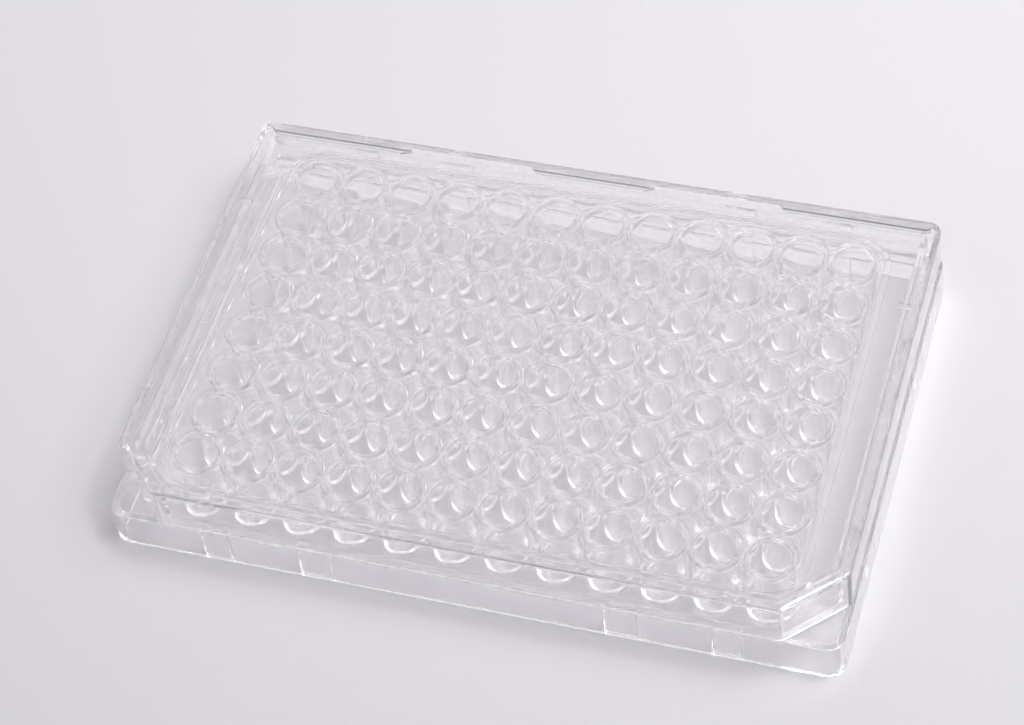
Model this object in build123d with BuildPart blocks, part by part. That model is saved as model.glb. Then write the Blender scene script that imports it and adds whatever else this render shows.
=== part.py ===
from build123d import *
import math
import os

# A 96-well microplate with its loose lid on. Both are clear polystyrene mouldings.
# The origin is the middle of the footprint, on the table. X runs along the twelve columns,
# with column 1 at -X, Y along the eight rows, with row A at +Y, and Z is up. Millimetres.

# Well array
column_count = 12
row_count = 8
well_spacing = 9.0
column_inset = 14.38          # side of the footprint to the centre of the nearest column
row_inset = 11.24             # side of the footprint to the centre of the nearest row

# One well
well_bore = 6.86              # across the corners of the bore
well_depth = 10.9
well_floor = 1.2
well_wall = 0.65              # least wall of the tube round a bore
well_clearance = 2.25         # underside of a well above the table
bore_sides = 15               # flats that stand for the round bore
tube_sides = 8                # flats that stand for the round outside of a tube or a collar

# Deck, with a moat round the collars of the wells
moat_depth = 0.45
moat_margin = 5.4             # centre of an outer well to the edge of the moat
moat_corner_radius = 5.4
deck_thickness = 1.2
slab_corner_cut = 4.0

# Upper body, which the lid drops over
body_setback = 2.75           # face of the flange to the face of the body
body_wall = 1.2
body_corner_radius = 1.2
corner_cut = 8.0              # leg of the cut at the two row H corners

# Flange that the plate stands on
flange_height = 7.62
flange_wall = 1.3
flange_corner_radius = 3.18
flange_inner_cut = 1.2
ledge_thickness = 1.2

# Thick pads on the inside of the flange
pad_depth = 1.0
outer_pad_width = 4.7
outer_pad_place = 44.4        # from the middle, along a long side
inner_pad_width = 5.5
inner_pad_place = 26.6
end_pad_width = 4.4
end_pad_place = 20.0          # from the middle, along a short side

# Lid
lid_clearance = 1.0           # body of the plate to the inside of the lid
lid_wall = 1.2
lid_thickness = 1.4
lid_hem_gap = 0.2             # lower edge of the lid above the ledge of the flange
lid_edge_break = 0.7          # bevel round the top of the lid

# Spacer ribs under the lid, which rest on the deck and let air in
spacer_height = 0.65
spacer_width = 0.8
spacer_reach = 2.2            # how far a rib lies over the deck
side_spacer_place = 44.4      # from the middle, along a long side
end_spacer_place = 23.4       # from the middle, along a short side, towards row A

# Sizes that follow from these
plate_length = (column_count - 1) * well_spacing + 2 * column_inset
plate_width = (row_count - 1) * well_spacing + 2 * row_inset
plate_height = well_clearance + well_floor + well_depth
moat_length = (column_count - 1) * well_spacing + 2 * moat_margin
moat_width = (row_count - 1) * well_spacing + 2 * moat_margin
slab_underside = plate_height - moat_depth - deck_thickness
hollow_length = plate_length - 2 * flange_wall
hollow_width = plate_width - 2 * flange_wall
body_length = plate_length - 2 * body_setback
body_width = plate_width - 2 * body_setback
lid_underside = plate_height + spacer_height
lid_top = lid_underside + lid_thickness
lid_hem = flange_height + lid_hem_gap
lid_inner_length = body_length + 2 * lid_clearance
lid_inner_width = body_width + 2 * lid_clearance
spacer_length = spacer_reach + lid_clearance


def cut_of(offset):
    """The leg of the corner cut of an outline that runs parallel to the body, outside it by offset."""
    return corner_cut + offset * (2 - math.sqrt(2))


def body_outline(height, offset):
    """The body's outline, grown by offset: cut at the two row H corners and rounded at row A."""
    with BuildSketch(Plane.XY.offset(height)) as outline:
        Rectangle(body_length + 2 * offset, body_width + 2 * offset)
        chamfer(outline.vertices().group_by(Axis.Y)[0], cut_of(offset))
        if body_corner_radius + offset > 0:
            fillet(outline.vertices().group_by(Axis.Y)[-1], body_corner_radius + offset)
    return outline.sketch


# Centre of the spacer rib at the middle of a cut corner
cut_spacer_inset = cut_of(lid_clearance) / 2 + spacer_length / 2 / math.sqrt(2)
cut_spacer_x = lid_inner_length / 2 - cut_spacer_inset
cut_spacer_y = cut_spacer_inset - lid_inner_width / 2

with BuildPart() as plate:
    # The flange and the body start solid
    with BuildSketch():
        RectangleRounded(plate_length, plate_width, flange_corner_radius)
    extrude(amount=flange_height)
    extrude(body_outline(flange_height, 0), amount=plate_height - flange_height, dir=(0, 0, 1))

    # Hollow inside the flange up to the ledge, and inside the body up to the deck
    with BuildSketch() as hollow:
        Rectangle(hollow_length, hollow_width)
        chamfer(hollow.vertices(), flange_inner_cut)
    extrude(amount=flange_height - ledge_thickness, mode=Mode.SUBTRACT)
    extrude(
        body_outline(0, -body_wall),
        amount=plate_height - deck_thickness,
        dir=(0, 0, 1),
        mode=Mode.SUBTRACT,
    )

    # Pads on the inside of the flange
    with BuildSketch():
        with GridLocations(2 * outer_pad_place, hollow_width - pad_depth, 2, 2):
            Rectangle(outer_pad_width, pad_depth)
        with GridLocations(2 * inner_pad_place, hollow_width - pad_depth, 2, 2):
            Rectangle(inner_pad_width, pad_depth)
        with GridLocations(hollow_length - pad_depth, 2 * end_pad_place, 2, 2):
            Rectangle(pad_depth, end_pad_width)
    extrude(amount=flange_height - ledge_thickness)

    # Slab that carries the wells, a step lower than the rest of the deck
    with BuildSketch(Plane.XY.offset(slab_underside)) as slab:
        Rectangle(moat_length + 2 * deck_thickness, moat_width + 2 * deck_thickness)
        chamfer(slab.vertices(), slab_corner_cut)
    extrude(amount=moat_depth)

    # Tubes that hang from the slab
    with BuildSketch(Plane.XY.offset(well_clearance)):
        with GridLocations(well_spacing, well_spacing, column_count, row_count):
            RegularPolygon(
                well_bore / 2 + well_wall,
                tube_sides,
                major_radius=False,
                rotation=180 / tube_sides,
            )
    extrude(amount=slab_underside - well_clearance)

    # Moat, cut round the collars, which meet their neighbours
    with BuildSketch(Plane.XY.offset(plate_height)):
        RectangleRounded(moat_length, moat_width, moat_corner_radius)
        with GridLocations(well_spacing, well_spacing, column_count, row_count):
            RegularPolygon(
                well_spacing / 2,
                tube_sides,
                major_radius=False,
                rotation=180 / tube_sides,
                mode=Mode.SUBTRACT,
            )
    extrude(amount=-moat_depth, mode=Mode.SUBTRACT)

    # Bores
    with BuildSketch(Plane.XY.offset(plate_height)):
        with GridLocations(well_spacing, well_spacing, column_count, row_count):
            RegularPolygon(well_bore / 2, bore_sides, rotation=180 / bore_sides)
    extrude(amount=-well_depth, mode=Mode.SUBTRACT)

plate.part.label = "plate"

with BuildPart() as lid:
    # A shallow tray, upside down
    extrude(
        body_outline(lid_hem, lid_clearance + lid_wall),
        amount=lid_top - lid_hem,
        dir=(0, 0, 1),
    )
    chamfer(lid.faces().sort_by(Axis.Z)[-1].edges(), lid_edge_break)
    extrude(
        body_outline(lid_hem, lid_clearance),
        amount=lid_underside - lid_hem,
        dir=(0, 0, 1),
        mode=Mode.SUBTRACT,
    )

    # Spacer ribs: two on each long side, one on each short side and one on each cut corner
    with BuildSketch(Plane.XY.offset(plate_height)):
        with GridLocations(2 * side_spacer_place, lid_inner_width - spacer_length, 2, 2):
            Rectangle(spacer_width, spacer_length)
        with Locations((0, end_spacer_place)):
            with GridLocations(lid_inner_length - spacer_length, 0, 2, 1):
                Rectangle(spacer_length, spacer_width)
        for side in (-1, 1):
            with Locations(Location((side * cut_spacer_x, cut_spacer_y), side * 45)):
                Rectangle(spacer_width, spacer_length)
    extrude(amount=spacer_height)

lid.part.label = "lid"

os.makedirs("parts", exist_ok=True)
export_step(plate.part, "parts/plate.step")
export_step(lid.part, "parts/lid.step")
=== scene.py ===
# %% [markdown]
# # A 96-well plate under its lid
#
# The object is a clear polystyrene plate with 96 small wells, and a clear lid that lies loose on top of it.
# Nothing on it has a colour of its own. All that the eye gets is light that is bent and mirrored by its
# faces, so this lesson is mostly about shape: if every wall, collar and rounded edge is where the mould put
# it, the look follows.
#
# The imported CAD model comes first. It is the frame: the outline of the plate and the heights of both pieces
# are read from it.

# %% Load the CAD frame
import math
import random
import bmesh
import bpy
from mathutils import Matrix, Vector


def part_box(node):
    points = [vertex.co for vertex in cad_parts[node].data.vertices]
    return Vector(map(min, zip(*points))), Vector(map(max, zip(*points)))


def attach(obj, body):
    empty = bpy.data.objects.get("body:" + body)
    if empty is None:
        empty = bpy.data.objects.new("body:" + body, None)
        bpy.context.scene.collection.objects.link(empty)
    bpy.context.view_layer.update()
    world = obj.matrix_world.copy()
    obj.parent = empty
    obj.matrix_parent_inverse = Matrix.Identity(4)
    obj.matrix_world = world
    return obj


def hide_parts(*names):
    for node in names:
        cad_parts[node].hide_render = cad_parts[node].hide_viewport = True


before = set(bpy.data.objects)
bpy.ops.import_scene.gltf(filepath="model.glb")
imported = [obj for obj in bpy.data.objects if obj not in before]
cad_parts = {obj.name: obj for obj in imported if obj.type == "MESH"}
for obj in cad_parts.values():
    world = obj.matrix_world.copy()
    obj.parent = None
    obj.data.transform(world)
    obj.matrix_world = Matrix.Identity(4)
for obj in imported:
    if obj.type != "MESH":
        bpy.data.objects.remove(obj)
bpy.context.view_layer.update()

plate_low, plate_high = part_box("plate")
lid_low, lid_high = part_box("lid")
print("plate", [round(v * 1000, 2) for v in plate_high - plate_low], "mm")
print("lid", [round(v * 1000, 2) for v in lid_high - lid_low], "mm")

# %% [markdown]
# ## The camera
#
# A camera can be aimed with a Track To constraint, or set by a place and a direction as here, which also
# leaves room for a roll. A long lens from well above the front edge keeps the rows of wells nearly parallel.
# The camera stands to the right of the middle, so the front edge falls to the right. The small roll makes
# that fall 11 degrees instead of 20.

# %% Camera
view_from = Vector((0.1196, -0.28662, 0.39959))
view_along = Vector((-0.24723, 0.57617, -0.77904))
view_roll = math.radians(8.775)
lens_length = 101.6
sensor_width = 36

lens = bpy.data.cameras.new("camera")
lens.lens = lens_length
lens.sensor_width = sensor_width
lens.clip_start = 0.01
camera = bpy.data.objects.new("camera", lens)
facing = view_along.to_track_quat("-Z", "Y").to_matrix().to_4x4()
camera.matrix_world = Matrix.Translation(view_from) @ facing @ Matrix.Rotation(-view_roll, 4, "Z")
bpy.context.scene.collection.objects.link(camera)
bpy.context.scene.camera = camera
print("camera looks down at", round(math.degrees(math.asin(-view_along.z)), 1), "degrees")

# %% [markdown]
# ## Tools for a moulded skin
#
# A clear piece has to be one closed skin with no faces inside it. Light is bent wherever it meets a face, so
# a hidden face that would never be seen in an opaque piece shows up as a ghost in a clear one. Joining simple
# solids with Boolean cuts can leave such faces and ragged edges. Here each piece is lofted instead: closed
# loops of points are stacked from one side of the wall round to the other, bands of four-sided faces join two
# loops that match, and flat areas are filled between loops that don't.

# %% A skin made of loops
merge_distance = 1e-4
sharp_angle = 35
flat_weight = 90


class Skin:
    """One closed skin, built up loop by loop, in millimetres."""

    def __init__(self):
        self.mesh = bmesh.new()

    def loop(self, outline, height):
        return [self.mesh.verts.new((x, y, height)) for x, y in outline]

    def band(self, one, other):
        """Four-sided faces between two loops that have the same number of points."""
        for n in range(len(one)):
            self.mesh.faces.new((one[n - 1], one[n], other[n], other[n - 1]))

    def bands(self, loops):
        for one, other in zip(loops, loops[1:]):
            self.band(one, other)

    def stack(self, rings):
        """Bands through a list of (outline, height). Returns the first and last loops."""
        loops = [self.loop(*ring) for ring in rings]
        self.bands(loops)
        return loops[0], loops[-1]

    def flat(self, *loops):
        """Fills the flat area between loops at one height."""
        edges = []
        for loop in loops:
            for n in range(len(loop)):
                pair = (loop[n - 1], loop[n])
                edges.append(self.mesh.edges.get(pair) or self.mesh.edges.new(pair))
        bmesh.ops.triangle_fill(self.mesh, use_beauty=True, edges=edges)

    def finish(self, name, material):
        """Closes the skin and makes the object, in metres."""
        bmesh.ops.remove_doubles(self.mesh, verts=self.mesh.verts, dist=merge_distance)
        bmesh.ops.recalc_face_normals(self.mesh, faces=self.mesh.faces)
        bmesh.ops.scale(self.mesh, vec=(0.001, 0.001, 0.001), verts=self.mesh.verts)
        open_edges = sum(1 for edge in self.mesh.edges if len(edge.link_faces) != 2)
        volume = self.mesh.calc_volume(signed=True) * 1e9
        data = bpy.data.meshes.new(name)
        self.mesh.to_mesh(data)
        self.mesh.free()
        data.shade_smooth()
        data.set_sharp_from_angle(angle=math.radians(sharp_angle))
        piece = bpy.data.objects.new(name, data)
        bpy.context.scene.collection.objects.link(piece)
        data.materials.append(material)
        even = piece.modifiers.new("even flats", "WEIGHTED_NORMAL")
        even.keep_sharp = True
        even.weight = flat_weight
        data.calc_loop_triangles()
        print(f"{name}: {len(data.loop_triangles)} triangles, {open_edges} open edges, {volume:.0f} mm3")
        return piece


print("flats keep their own shading, and edges over", sharp_angle, "degrees stay sharp")

# %% [markdown]
# ## Outlines with rounded corners
#
# Every outline on a moulding has rounded corners, even where it looks sharp, because the tool that cut the
# mould was round. A Bevel modifier could round them afterwards, but it can't keep two outlines of one wall
# parallel. Working the arcs out means that each outline is the same shape, only grown or shrunk.

# %% Outlines
corner_steps = 5
box_corner_steps = 8


def rounded(corners, steps=corner_steps):
    """The points of an outline that runs anticlockwise. Each corner is (x, y, radius)."""
    points = []
    for n, (x, y, radius) in enumerate(corners):
        if radius == 0:
            points.append((x, y))
            continue
        corner = Vector((x, y))
        back = (Vector(corners[n - 1][:2]) - corner).normalized()
        on = (Vector(corners[(n + 1) % len(corners)][:2]) - corner).normalized()
        half = back.angle(on) / 2
        middle = corner + (back + on).normalized() * radius / math.sin(half)
        spoke = corner + back * radius / math.tan(half) - middle
        bend = math.copysign(math.pi - 2 * half, on.cross(back))
        for step in range(steps + 1):
            cosine = math.cos(bend * step / steps)
            sine = math.sin(bend * step / steps)
            point_x = middle.x + spoke.x * cosine - spoke.y * sine
            point_y = middle.y + spoke.x * sine + spoke.y * cosine
            points.append((point_x, point_y))
    return points


def box_outline(half_x, half_y, radius):
    signs = ((1, -1), (1, 1), (-1, 1), (-1, -1))
    return rounded([(half_x * a, half_y * b, radius) for a, b in signs], box_corner_steps)


def cut_corners(half_x, half_y, cut, cut_radius, back_radius, back_wall=()):
    """The corners of a box whose two front corners are cut off. back_wall holds more corners on its back."""
    return [
        (half_x - cut, -half_y, cut_radius),
        (half_x, cut - half_y, cut_radius),
        (half_x, half_y, back_radius),
        *back_wall,
        (-half_x, half_y, back_radius),
        (-half_x, cut - half_y, cut_radius),
        (cut - half_x, -half_y, cut_radius),
    ]


print(corner_steps, "steps round a cut corner,", box_corner_steps, "round a square one")

# %% [markdown]
# ## Rounded edges
#
# The edge between an upright wall and a level face is rounded in the same way: a few rings on a quarter
# circle. A thin line of light along an edge is that rounding at work, and its width follows the radius. So a
# sharp, thin line asks for a radius of a tenth or two of a millimetre, and no more.

# %% Rings round an edge
def quarter(steps):
    """(across, rise) on a quarter circle: it leaves (0, 0) upright and ends level at (1, 1)."""
    turned = [math.pi / 2 * n / steps for n in range(steps + 1)]
    return [(1 - math.cos(t), math.sin(t)) for t in turned]


def edge_rings(line, wall, height, out, up, steps, level_first=False):
    """Rings that leave the wall at a height and turn into a level face that lies out and up from there.

    With level_first they come from the level face and end on the wall.
    """
    rings = [(line(wall + out * across), height + up * rise) for across, rise in quarter(steps)]
    return rings[::-1] if level_first else rings


print("half way round an edge:", [round(v, 3) for v in quarter(2)[1]], "of its radius")

# %% [markdown]
# ## Clear polystyrene
#
# Polystyrene bends light more than glass or water do: its index is 1.59. A Glass shader would do, but the
# Principled shader exports better, and with full transmission and no roughness it does the same job. A
# moulded face is polished but never quite flat. On the lid, which is one broad sheet, slow waves from the
# flow of the melt are a faint bump. The plate gets its marks as real geometry, in the wells.

# %% Clear plastic
polystyrene_index = 1.59
clear_tint = (0.992, 0.99, 0.992)
wave_scale, wave_height = 160, 0.00002


def clear_plastic(name):
    material = bpy.data.materials.new(name)
    material.use_nodes = True
    shader = material.node_tree.nodes["Principled BSDF"]
    shader.inputs["Base Color"].default_value = (*clear_tint, 1)
    shader.inputs["Roughness"].default_value = 0
    shader.inputs["IOR"].default_value = polystyrene_index
    shader.inputs["Transmission Weight"].default_value = 1
    return material


def add_flow_waves(material):
    nodes, links = material.node_tree.nodes, material.node_tree.links
    place = nodes.new("ShaderNodeTexCoord")
    waves = nodes.new("ShaderNodeTexNoise")
    waves.inputs["Scale"].default_value = wave_scale
    waves.inputs["Detail"].default_value = 1
    links.new(place.outputs["Object"], waves.inputs["Vector"])
    bump = nodes.new("ShaderNodeBump")
    bump.inputs["Distance"].default_value = wave_height
    links.new(waves.outputs["Fac"], bump.inputs["Height"])
    links.new(bump.outputs["Normal"], nodes["Principled BSDF"].inputs["Normal"])


plate_plastic = clear_plastic("clear_plate")
lid_plastic = clear_plastic("clear_lid")
add_flow_waves(lid_plastic)
print("index", polystyrene_index, "and waves of", wave_height * 1e6, "micrometres on the lid")

# %% [markdown]
# ## The wells
#
# A well is a ring stack: the same circle again and again with another radius and height. It could be one
# spun profile, copied by an Array modifier, but then neighbours would overlap. So each well fills its own
# square cell, and 96 cells fit edge to edge. The stack starts at the middle of the floor, climbs the bore,
# which opens a little towards the top so that the moulding lets go of its core, rounds the mouth, rises to a
# thin crest and runs down to the moat. The tube that hangs below is a second stack.

# %% Sizes of the wells
columns, rows = 12, 8
pitch = 9.0
around = 36
deck_top = plate_high.z * 1000
moat_depth, slab_thickness = 0.45, 1.2
moat_floor = deck_top - moat_depth
slab_under = moat_floor - slab_thickness
well_floor = 3.45
well_under = 2.25
dimple = 0.10

floor_edge = [(2.95, 0), (3.10, 0.05), (3.18, 0.16), (3.21, 0.32)]
mouth = [(3.530, 0.500), (3.550, 0.376), (3.606, 0.265), (3.695, 0.176), (3.806, 0.120), (3.930, 0.100)]
crest = [(4.340, 0.030), (4.420, 0.000), (4.460, 0.030), (4.480, 0.090)]
bore_rings = [(radius, well_floor + rise) for radius, rise in floor_edge]
bore_rings += [(radius, deck_top - depth) for radius, depth in mouth + crest]
tube_rings = [
    (4.45, slab_under),
    (4.28, slab_under - 0.06),
    (4.19, slab_under - 0.25),
    (3.98, well_under + 0.45),
    (3.90, well_under + 0.15),
    (3.72, well_under),
    (3.30, well_under),
    (3.18, well_under + dimple),
]


def well_place(column, row):
    """The middle of a well. Column 0 is at the left and row 0 at the back."""
    return (column - (columns - 1) / 2) * pitch, ((rows - 1) / 2 - row) * pitch


def on_square(t):
    """The point where the direction t meets the square edge of a cell."""
    longest = max(abs(math.cos(t)), abs(math.sin(t)))
    return pitch / 2 * math.cos(t) / longest, pitch / 2 * math.sin(t) / longest


centres = [well_place(column, row) for row in range(rows) for column in range(columns)]
turns = [math.radians(45 + 360 * n / around) for n in range(around)]
square = [on_square(t) for t in turns]
print(len(centres), "wells,", around, "points round each,", len(bore_rings), "rings up the bore")

# %% [markdown]
# ## The feet of the collars
#
# Each collar meets the floor of the moat in a small rounded foot. Neighbouring collars almost touch, so
# their feet run into each other and leave a low saddle between two wells and a flat patch between four.
# Adding up the heights of the nearest feet gives both without any special case.

# %% Height of the moat between the collars
collar_edge = 4.45
foot_radius = 0.3


def collar_foot(distance):
    """Height of the rounded foot of a collar, at a distance from the middle of its well."""
    reach = min(max(collar_edge + foot_radius - distance, 0), foot_radius)
    return foot_radius - math.sqrt(foot_radius**2 - reach**2)


def moat_height(x, y):
    """Height of the moat at a place between the collars."""
    column = min(max(round(x / pitch + (columns - 1) / 2), 0), columns - 1)
    row = min(max(round((rows - 1) / 2 - y / pitch), 0), rows - 1)
    height = 0
    for near_column in range(max(column - 1, 0), min(column + 2, columns)):
        for near_row in range(max(row - 1, 0), min(row + 2, rows)):
            well_x, well_y = well_place(near_column, near_row)
            height += collar_foot(math.hypot(x - well_x, y - well_y))
    return moat_floor + height


print("saddle between two wells:", round(moat_height(0, pitch / 2) - moat_floor, 3), "mm above the moat")

# %% [markdown]
# ## One skin for 96 wells
#
# The bore of a well is drawn off a steel core, which leaves fine upright marks. A bump in the material could
# bend the light as they do, but it would need a pattern wrapped round each bore. Here the points of the
# rings are pushed in and out a little, by the same row of amounts from near the floor up to the mouth. The
# draws come from a seeded generator, so that every run makes the same plate.

# %% Skin of the wells
corner_reach = 4.75
drag_depth = 0.012
drag_from = well_floor + 0.2
drag_to = deck_top - 0.35
plate_skin = Skin()
make = plate_skin.mesh.verts.new


def circle(x, y, radius, height, drag=None):
    """A ring of a well. The marks in drag push each point of it in or out a little."""
    marks = drag or [0] * around
    return [
        make((x + (radius + mark) * math.cos(t), y + (radius + mark) * math.sin(t), height))
        for t, mark in zip(turns, marks)
    ]


def on_moat(x, y, outline):
    """A loop round a well that takes its height from the feet of the collars."""
    return [make((x + a, y + b, moat_height(x + a, y + b))) for a, b in outline]


def disc(x, y, height, rim):
    middle = make((x, y, height))
    for n in range(around):
        plate_skin.mesh.faces.new((middle, rim[n - 1], rim[n]))


def is_corner(x, y):
    return abs(x) > (columns - 1.5) / 2 * pitch and abs(y) > (rows - 1.5) / 2 * pitch


def cell_rim(x, y):
    """The square rim of a cell. At a corner of the plate it is rounded outside, to stay inside the moat."""
    if not is_corner(x, y):
        return square
    rim = []
    for a, b in square:
        shrink = min(1, corner_reach / math.hypot(a, b)) if a * x > 0 and b * y > 0 else 1
        rim.append((a * shrink, b * shrink))
    return rim


chance = random.Random(4)
foot_inner = [(collar_edge * math.cos(t), collar_edge * math.sin(t)) for t in turns]
for x, y in centres:
    drag = [chance.uniform(-drag_depth, drag_depth) for _ in turns]
    bore = []
    for radius, height in bore_rings:
        bore.append(circle(x, y, radius, height, drag if drag_from < height < drag_to else None))
    disc(x, y, well_floor, bore[0])
    rim = cell_rim(x, y)
    foot_outer = []
    for (a, b), t in zip(rim, turns):
        reach = min(collar_edge + foot_radius, (collar_edge + math.hypot(a, b)) / 2)
        foot_outer.append((reach * math.cos(t), reach * math.sin(t)))
    plate_skin.bands(bore + [on_moat(x, y, outline) for outline in (foot_inner, foot_outer, rim)])
    tube = [plate_skin.loop([(x + a, y + b) for a, b in rim], slab_under)]
    tube += [circle(x, y, radius, height) for radius, height in tube_rings]
    plate_skin.bands(tube)
    disc(x, y, well_under + dimple, tube[-1])
print(len(plate_skin.mesh.faces), "faces on the wells")

# %% [markdown]
# ## The rim of the well field
#
# The outer cells end in a line that rises and falls with the feet of the collars, and the moat beyond them
# has a smooth outline with other points. A loop a little outside the cells, flat on the floor of the moat,
# makes the step between the two: one band up to the cells, and one flat fill out to the moat.

# %% Rim of the well field
kerb_gap = 0.4
corner_gap = 0.2
half_x, half_y = (columns - 1) / 2 * pitch, (rows - 1) / 2 * pitch
walks = [
    (225, [(pitch * column - half_x, -half_y) for column in range(columns)]),
    (315, [(half_x, pitch * row - half_y) for row in range(rows)]),
    (45, [(half_x - pitch * column, half_y) for column in range(columns)]),
    (135, [(-half_x, half_y - pitch * row) for row in range(rows)]),
]
field, field_outside = [], []
for first_turn, wells in walks:
    outward = math.radians(first_turn + 45)
    for x, y in wells:
        for step in range(around // 4):
            turned = first_turn + step * 360 / around
            a, b = cell_rim(x, y)[round((turned - 45) / 360 * around) % around]
            field.append((x + a, y + b))
            on_round_corner = math.hypot(a, b) >= corner_reach - 1e-6 and a * x > 0 and b * y > 0
            if on_round_corner and is_corner(x, y):
                grow = (corner_reach + corner_gap) / corner_reach
                field_outside.append((x + a * grow, y + b * grow))
            else:
                gap_x, gap_y = kerb_gap * math.cos(outward), kerb_gap * math.sin(outward)
                field_outside.append((x + a + gap_x, y + b + gap_y))
field_rim = [make((x, y, moat_height(x, y))) for x, y in field]
field_flat = plate_skin.loop(field_outside, moat_floor)
plate_skin.band(field_rim, field_flat)
print(len(field), "points round the well field")

# %% [markdown]
# ## The deck, the body and the flange
#
# The skin runs on over the moat and its kerb to the deck, down the side of the body, out over the ledge and
# down the flange to the table. Extruding boxes would leave the walls upright and the edges sharp. Rings let
# the walls lean by a tenth or two of a millimetre, as they must to leave the mould.

# %% Moat, deck and body
moat_x, moat_y, moat_radius = 54.9, 36.9, 5.4
body_x, body_y, body_cut = 61.13, 39.99, 8.0
body_cut_radius, body_back_radius, least_radius = 0.9, 1.2, 0.15
kerb_round = 0.2
# How far across the rounded foot of the kerb each of its rings lies
kerb_foot = (0, 0.5, 0.87, 1)
deck_round, root_round = 0.14, 0.12
body_lean = 0.12
ledge = 7.62
cut_grows = 2 - math.sqrt(2)


def moat_line(out):
    return box_outline(moat_x + out, moat_y + out, moat_radius + out)


def body_line(out):
    cut = body_cut + out * cut_grows
    cut_radius = max(body_cut_radius + out, least_radius)
    back_radius = max(body_back_radius + out, least_radius)
    return rounded(cut_corners(body_x + out, body_y + out, cut, cut_radius, back_radius))


rings = []
for part in kerb_foot:
    foot_height = kerb_round * (1 - math.sqrt(1 - part * part))
    rings.append((moat_line(-kerb_round + kerb_round * part), moat_floor + foot_height))
rings += edge_rings(moat_line, 0, deck_top - kerb_round, kerb_round, kerb_round, 3)
moat_foot, deck_inner = plate_skin.stack(rings)
plate_skin.flat(field_flat, moat_foot)
rings = edge_rings(body_line, 0, deck_top - deck_round, -deck_round, deck_round, 4, level_first=True)
rings += edge_rings(body_line, body_lean, ledge + root_round, root_round, -root_round, 3)
deck_outer, ledge_inner = plate_skin.stack(rings)
plate_skin.flat(deck_inner, deck_outer)
print("moat", round(deck_top - moat_floor, 2), "mm deep, body", round(deck_top - ledge, 2), "mm high")

# %% Flange
flange_x, flange_y = plate_high.x * 1000, plate_high.y * 1000
flange_radius = 3.18
flange_lean, flange_round, rim_round = 0.22, 0.2, 0.06


def flange_line(out):
    return box_outline(flange_x + out, flange_y + out, flange_radius + out)


flange_side = ledge - flange_round
rings = edge_rings(flange_line, -flange_lean, flange_side, -flange_round, flange_round, 4, level_first=True)
rings += edge_rings(flange_line, 0, rim_round, -rim_round, -rim_round, 2)
ledge_outer, rim_outer = plate_skin.stack(rings)
plate_skin.flat(ledge_inner, ledge_outer)
print("flange", round(2 * flange_x, 2), "by", round(2 * flange_y, 2), "mm")

# %% [markdown]
# ## Inside the flange
#
# The inside of the flange is seen through its outside, so it matters as much. Thick pads step in from it,
# two pairs along each long side and one pair along each end. They are steps in one outline, not blocks set
# against the wall: a block would leave a face inside the plastic.

# %% Pads inside the flange
flange_wall, pad_depth = 1.3, 1.0
pad_corner_radius, inner_corner_radius = 0.2, 1.8
inner_corner_steps = 3
flange_inside_lean = 0.25
ledge_thickness = 1.2
ledge_under = ledge - ledge_thickness
long_pads = [(-44.4, 4.7), (-26.6, 5.5), (26.6, 5.5), (44.4, 4.7)]
end_pads = [(-20.0, 4.4), (20.0, 4.4)]


def inner_line(inward):
    """The inside of the flange, anticlockwise from the front, with a step in for each pad."""
    x, y = flange_x - flange_wall - inward, flange_y - flange_wall - inward
    line = []
    for pads, along, side, corner in (
        (long_pads, 1, -1, (x, -y)),
        (end_pads, 1, 1, (x, y)),
        (long_pads, -1, 1, (-x, y)),
        (end_pads, -1, -1, (-x, -y)),
    ):
        for place, width in pads[::along]:
            for end, deep in ((-1, 0), (-1, pad_depth), (1, pad_depth), (1, 0)):
                at = place + along * end * width / 2
                if pads is long_pads:
                    line.append((at, side * (y - deep), pad_corner_radius))
                else:
                    line.append((side * (x - deep), at, pad_corner_radius))
        line.append((*corner, inner_corner_radius))
    return rounded(line, inner_corner_steps)


rings = edge_rings(inner_line, 0, rim_round, -rim_round, -rim_round, 2, level_first=True)
rings += edge_rings(inner_line, flange_inside_lean, ledge_under - root_round, root_round, root_round, 3)
rim_inner, shelf_outer = plate_skin.stack(rings)
plate_skin.flat(rim_outer, rim_inner)
print(2 * len(long_pads) + 2 * len(end_pads), "pads,", pad_depth, "mm thick")

# %% [markdown]
# ## Inside the body
#
# The last part of the skin climbs the inside of the body, crosses the underside of the deck and steps down
# to the slab that carries the wells. There it meets the tubes, and the skin is closed. The count of open
# edges that is printed has to be 0.

# %% Inside of the body, up to the slab
body_wall, body_inside_lean = 1.2, 0.1
deck_thickness = 1.2
deck_under = deck_top - deck_thickness
lip_round = 0.12


def slab_line(out):
    grown = deck_thickness + out
    return box_outline(moat_x + grown, moat_y + grown, moat_radius + grown)


roof_wall = -body_wall - body_inside_lean
rings = edge_rings(body_line, -body_wall, ledge_under + lip_round, lip_round, -lip_round, 3, level_first=True)
rings += edge_rings(body_line, roof_wall, deck_under - root_round, -root_round, root_round, 3)
shelf_inner, roof_outer = plate_skin.stack(rings)
plate_skin.flat(shelf_outer, shelf_inner)
rings = [(slab_line(0), deck_under)]
rings += edge_rings(slab_line, 0, slab_under + lip_round, -lip_round, -lip_round, 3)
roof_inner, slab_edge = plate_skin.stack(rings)
plate_skin.flat(roof_outer, roof_inner)
field_under = plate_skin.loop(field, slab_under)
plate_skin.flat(slab_edge, field_under)
plate_piece = plate_skin.finish("clear_well_plate", plate_plastic)
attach(plate_piece, "root")
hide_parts("plate")

# %% [markdown]
# ## Row letters
#
# The rows are named by letters moulded on the deck, A at the back. They are in the same clear plastic, so
# they are hardly there until light catches an edge. Making them part of the skin would take many faces. A
# text object with a little depth is enough: it stands just clear of the deck, because two clear faces in
# exactly the same place would quarrel over each ray.

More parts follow.
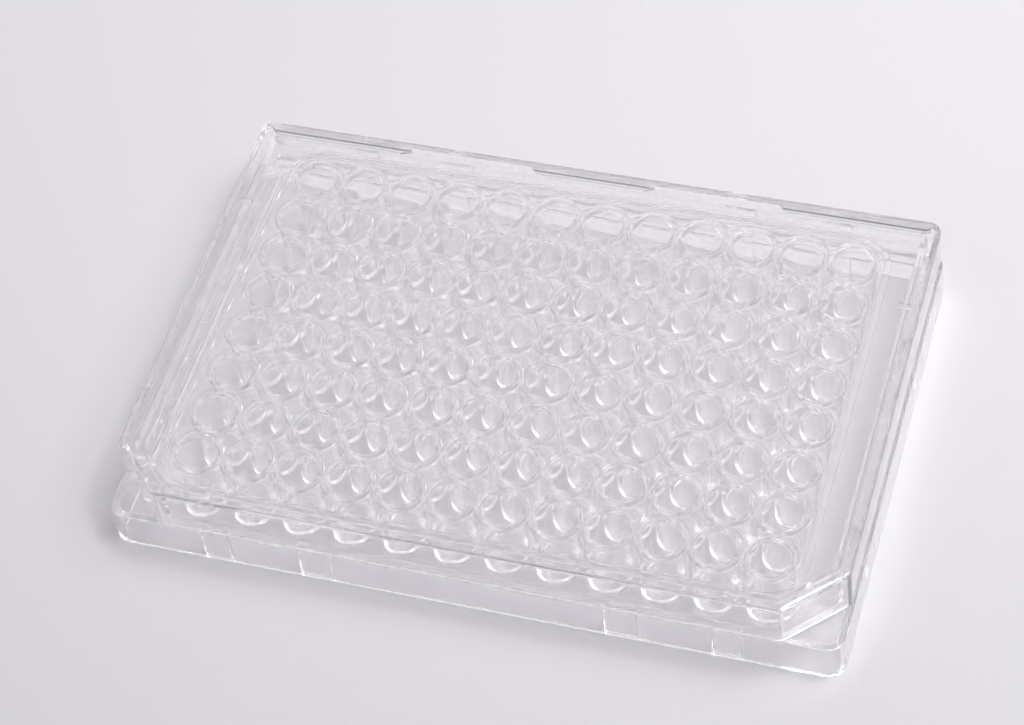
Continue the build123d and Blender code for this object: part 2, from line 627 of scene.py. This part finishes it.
# %% Row letters
letter_x, letter_size, letter_relief = -58.2, 2.8, 0.15
letter_gap = 0.002
letter_z = deck_top + letter_relief / 2 + letter_gap
for row in range(rows):
    name = f"row_letter_{row + 1}"
    curve = bpy.data.curves.new(name, "FONT")
    curve.body = chr(ord("A") + row)
    curve.size = letter_size / 1000
    curve.extrude = letter_relief / 2000
    curve.resolution_u = 3
    curve.align_x = "CENTER"
    curve.align_y = "CENTER"
    letter = bpy.data.objects.new(name, curve)
    letter.location = (letter_x / 1000, well_place(0, row)[1] / 1000, letter_z / 1000)
    bpy.context.scene.collection.objects.link(letter)
    curve.materials.append(plate_plastic)
    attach(letter, "root")
print(rows, "row letters, text size", letter_size, "mm")

# %% [markdown]
# ## The lid
#
# The lid is a tray upside down, lofted as the plate is. Its top edge is rolled over with a radius of 0.6 mm,
# and its hem stops just above the ledge. The moulding sits a touch towards the front, as a loose lid does.

# %% Outside of the lid
lid_top = lid_high.z * 1000
lid_hem = lid_low.z * 1000
lid_x, lid_y, lid_cut = 63.12, 42.4, 9.3
lid_shift = -0.15
lid_cut_radius, lid_back_radius, least_lid_radius = 1.6, 2.2, 0.2
lid_roll, hem_round, lid_lean = 0.6, 0.25, 0.15


def shifted(outline):
    return [(x, y + lid_shift) for x, y in outline]


def lid_line(out):
    cut = lid_cut + out * cut_grows
    cut_radius = max(lid_cut_radius + out, least_lid_radius)
    back_radius = max(lid_back_radius + out, least_lid_radius)
    return shifted(rounded(cut_corners(lid_x + out, lid_y + out, cut, cut_radius, back_radius)))


lid_skin = Skin()
rings = edge_rings(lid_line, 0, lid_top - lid_roll, -lid_roll, lid_roll, 6, level_first=True)
rings += edge_rings(lid_line, lid_lean, lid_hem + hem_round, -hem_round, -hem_round, 3)
top_edge, hem_outer = lid_skin.stack(rings)
lid_skin.flat(top_edge)
print("lid from", round(lid_hem, 2), "to", round(lid_top, 2), "mm")

# %% [markdown]
# ## Inside the lid
#
# Three webs stiffen the corner between the top of the lid and its back wall. Each is a slope with its ends
# cut at 45 degrees. From the front they show as grey bars along the back edge, because their slope turns the
# view away to the dim horizon. To keep one outline all the way up, the webs are in every ring, drawn in to a
# hundredth of a millimetre where there is no web.

# %% Inside of the lid
lid_wall, lid_thickness = 1.2, 1.4
lid_under = lid_top - lid_thickness
lid_inside_lean = 0.1
inside_cut_radius, inside_back_radius = 0.5, 1.0
web_depth, web_height, no_web = 1.8, 1.1, 0.01
webs = [(47.75, 27.0), (0.0, 23.0), (-47.75, 27.0)]


def lid_inside(out, deep=no_web):
    """The inside of the lid. The webs stand in from the back wall by deep."""
    y = lid_y + out
    back_wall = []
    for place, length in webs:
        for end, tuck in ((0.5, 0), (0.5, deep), (-0.5, deep), (-0.5, 0)):
            back_wall.append((place + end * length - math.copysign(tuck, end), y - tuck, 0))
    cut = lid_cut + out * cut_grows
    corners = cut_corners(lid_x + out, y, cut, inside_cut_radius, inside_back_radius, back_wall)
    return shifted(rounded(corners))


hem_wall = lid_lean - lid_wall
rings = edge_rings(lid_inside, hem_wall, lid_hem + hem_round, hem_round, -hem_round, 3, level_first=True)
rings.append((lid_inside(lid_inside_lean - lid_wall), lid_under - web_height))
rings.append((lid_inside(lid_inside_lean - lid_wall, web_depth), lid_under))
hem_inner, under_edge = lid_skin.stack(rings)
lid_skin.flat(hem_outer, hem_inner)
lid_skin.flat(under_edge)
print(len(webs), "webs,", web_height, "mm high")

# %% [markdown]
# ## Spacer ribs
#
# Short ribs keep the lid a hair's breadth off the wells, so that air gets in while the wells stay covered.
# In clear plastic each rib shows as a small pale tick. They are closed blocks in the lid's own mesh, a
# hundredth of a millimetre clear of both faces, so that no two faces share a place.

# %% Spacer ribs
rib_clearance = 0.01
rib_low, rib_high = deck_top + rib_clearance, lid_under - rib_clearance
ribs = [
    (44.4, 38.45, 0.7, 1.4, 0),
    (44.4, -39.3, 0.7, 3.1, 0),
    (60.2, 23.4, 2.2, 0.7, 0),
    (57.4, -36.2, 1.6, 0.7, -45),
]


def block(skin, middle_x, middle_y, length, width, low, high, turned):
    """A closed block in the skin, turned about the upright, in degrees."""
    cosine, sine = math.cos(math.radians(turned)), math.sin(math.radians(turned))
    outline = []
    for a, b in ((-1, -1), (1, -1), (1, 1), (-1, 1)):
        x, y = a * length / 2, b * width / 2
        outline.append((middle_x + x * cosine - y * sine, middle_y + x * sine + y * cosine))
    bottom, top = skin.stack([(outline, low), (outline, high)])
    skin.mesh.faces.new(bottom[::-1])
    skin.mesh.faces.new(top)


for side in (-1, 1):
    for x, y, length, width, turned in ribs:
        block(lid_skin, side * x, y, length, width, rib_low, rib_high, side * turned)
lid_piece = lid_skin.finish("clear_lid", lid_plastic)
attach(lid_piece, "root")
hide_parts("lid")

# %% [markdown]
# ## The floor
#
# A clear piece shows what lies behind it, so the floor is half of its look. It is pale matt paper whose
# colour
# carries a painted falloff of light: painted shade makes it darker at the front and lighter at the back, in
# place of the lamp's light fading towards the front. The paper lies a twentieth of a millimetre under the
# rim, so that the two never share a place.

# %% Floor
# Painted light: the two tones paint the lamp's falloff into the paper, darker at the front and lighter at the
# back.
floor_reach, floor_drop = 0.4, -0.00005
near_painted_falloff = (0.5, 0.49, 0.515, 1)
far_painted_falloff = (0.62, 0.605, 0.635, 1)
painted_falloff_direction = (-0.3, 1, 0)
painted_falloff_reach = 0.16

signs = ((-1, -1), (1, -1), (1, 1), (-1, 1))
floor_data = bpy.data.meshes.new("floor")
floor_corners = [(a * floor_reach, b * floor_reach, floor_drop) for a, b in signs]
floor_data.from_pydata(floor_corners, [], [(0, 1, 2, 3)])
floor = bpy.data.objects.new("floor", floor_data)
bpy.context.scene.collection.objects.link(floor)

paper = bpy.data.materials.new("pale_paper")
paper.use_nodes = True
nodes, links = paper.node_tree.nodes, paper.node_tree.links
sheet = nodes["Principled BSDF"]
sheet.inputs["Roughness"].default_value = 0.9
sheet.inputs["Specular IOR Level"].default_value = 0.0
spot = nodes.new("ShaderNodeTexCoord")
along = nodes.new("ShaderNodeVectorMath")
along.operation = "DOT_PRODUCT"
along.inputs[1].default_value = painted_falloff_direction
links.new(spot.outputs["Object"], along.inputs[0])
fade = nodes.new("ShaderNodeMapRange")
fade.interpolation_type = "SMOOTHSTEP"
fade.inputs["From Min"].default_value = -painted_falloff_reach
fade.inputs["From Max"].default_value = painted_falloff_reach
links.new(along.outputs["Value"], fade.inputs["Value"])
# This mix paints the falloff of light, as painted shade towards the front, into the paper's base colour.
tone = nodes.new("ShaderNodeMix")
tone.data_type = "RGBA"
tone.inputs["A"].default_value = near_painted_falloff
tone.inputs["B"].default_value = far_painted_falloff
links.new(fade.outputs["Result"], tone.inputs["Factor"])
links.new(tone.outputs["Result"], sheet.inputs["Base Color"])
floor_data.materials.append(paper)
print("floor", 2 * floor_reach, "m wide")

# %% [markdown]
# ## The room
#
# An even white room would make clear plastic vanish: each edge would bend one white into another. So the
# room is dark at the horizon and bright overhead. Level rays that leave through an edge come back grey and
# draw it, and the top of the lid still mirrors a pale ceiling. Where the camera looks past the floor it sees
# a pale backdrop, by way of Is Camera Ray, which puts no light on the plate.

# %% World
room_tint = (0.97, 0.95, 0.985, 1)
ceiling_from, ceiling_strength = 0.8, 0.86
backdrop_strength = 0.8

world = bpy.data.worlds.new("studio")
world.use_nodes = True
bpy.context.scene.world = world
nodes, links = world.node_tree.nodes, world.node_tree.links
sky = nodes["Background"]
sky.inputs["Color"].default_value = room_tint
direction = nodes.new("ShaderNodeTexCoord")
parts = nodes.new("ShaderNodeSeparateXYZ")
links.new(direction.outputs["Generated"], parts.inputs[0])
climb = nodes.new("ShaderNodeMapRange")
climb.interpolation_type = "SMOOTHSTEP"
climb.inputs["From Min"].default_value = 0
climb.inputs["From Max"].default_value = ceiling_from
climb.inputs["To Min"].default_value = 0
climb.inputs["To Max"].default_value = ceiling_strength
links.new(parts.outputs["Z"], climb.inputs["Value"])
path = nodes.new("ShaderNodeLightPath")
backdrop = nodes.new("ShaderNodeMath")
backdrop.operation = "MULTIPLY"
backdrop.inputs[1].default_value = backdrop_strength
links.new(path.outputs["Is Camera Ray"], backdrop.inputs[0])
brighter = nodes.new("ShaderNodeMath")
brighter.operation = "MAXIMUM"
links.new(climb.outputs["Result"], brighter.inputs[0])
links.new(backdrop.outputs["Value"], brighter.inputs[1])
links.new(brighter.outputs["Value"], sky.inputs["Strength"])
print("the room climbs from 0 to", ceiling_strength)

# %% [markdown]
# ## The lamps
#
# A broad soft box at the right gives the plate its shadow on the left and the highlights in the wells. A
# small one close to it adds a bright core to those highlights. A point lamp would do neither: a mirror-smooth
# piece shows the shape of its lamps, and a point has none.

# %% Lamps
def softbox(name, place, size, power):
    """A square soft box that faces the middle of the plate."""
    lamp = bpy.data.lights.new(name, "AREA")
    lamp.shape = "RECTANGLE"
    lamp.size = size
    lamp.size_y = size
    lamp.energy = power
    box = bpy.data.objects.new(name, lamp)
    box.location = place
    box.rotation_euler = (-Vector(place)).to_track_quat("-Z", "Y").to_euler()
    bpy.context.scene.collection.objects.link(box)
    print(name, power, "W,", size, "m wide")


softbox("key", (0.30, 0.06, 0.60), 0.45, 3.1)
softbox("spark", (0.28, 0.09, 0.64), 0.1, 0.9)

# %% [markdown]
# ## Bounces
#
# A ray can be mirrored inside a thin clear wall dozens of times before it gets out, and each of those
# mirrorings counts as a glossy bounce. A low limit cuts such rays off and leaves false dark bands round
# every collar, so all three limits are high.

# %% Light paths
clear_bounces = 96
cycles = bpy.context.scene.cycles
cycles.max_bounces = clear_bounces
cycles.transmission_bounces = clear_bounces
cycles.glossy_bounces = clear_bounces
cycles.diffuse_bounces = 6
cycles.blur_glossy = 0
print("up to", clear_bounces, "bounces in the plastic")

# %% [markdown]
# ## Finish
#
# The view layer is brought up to date, and the render keeps its colours with the Standard view transform.
# The visual model has to stay inside the box of the CAD model.

# %% Finish
bpy.context.view_layer.update()
bpy.context.scene.view_settings.view_transform = "Standard"
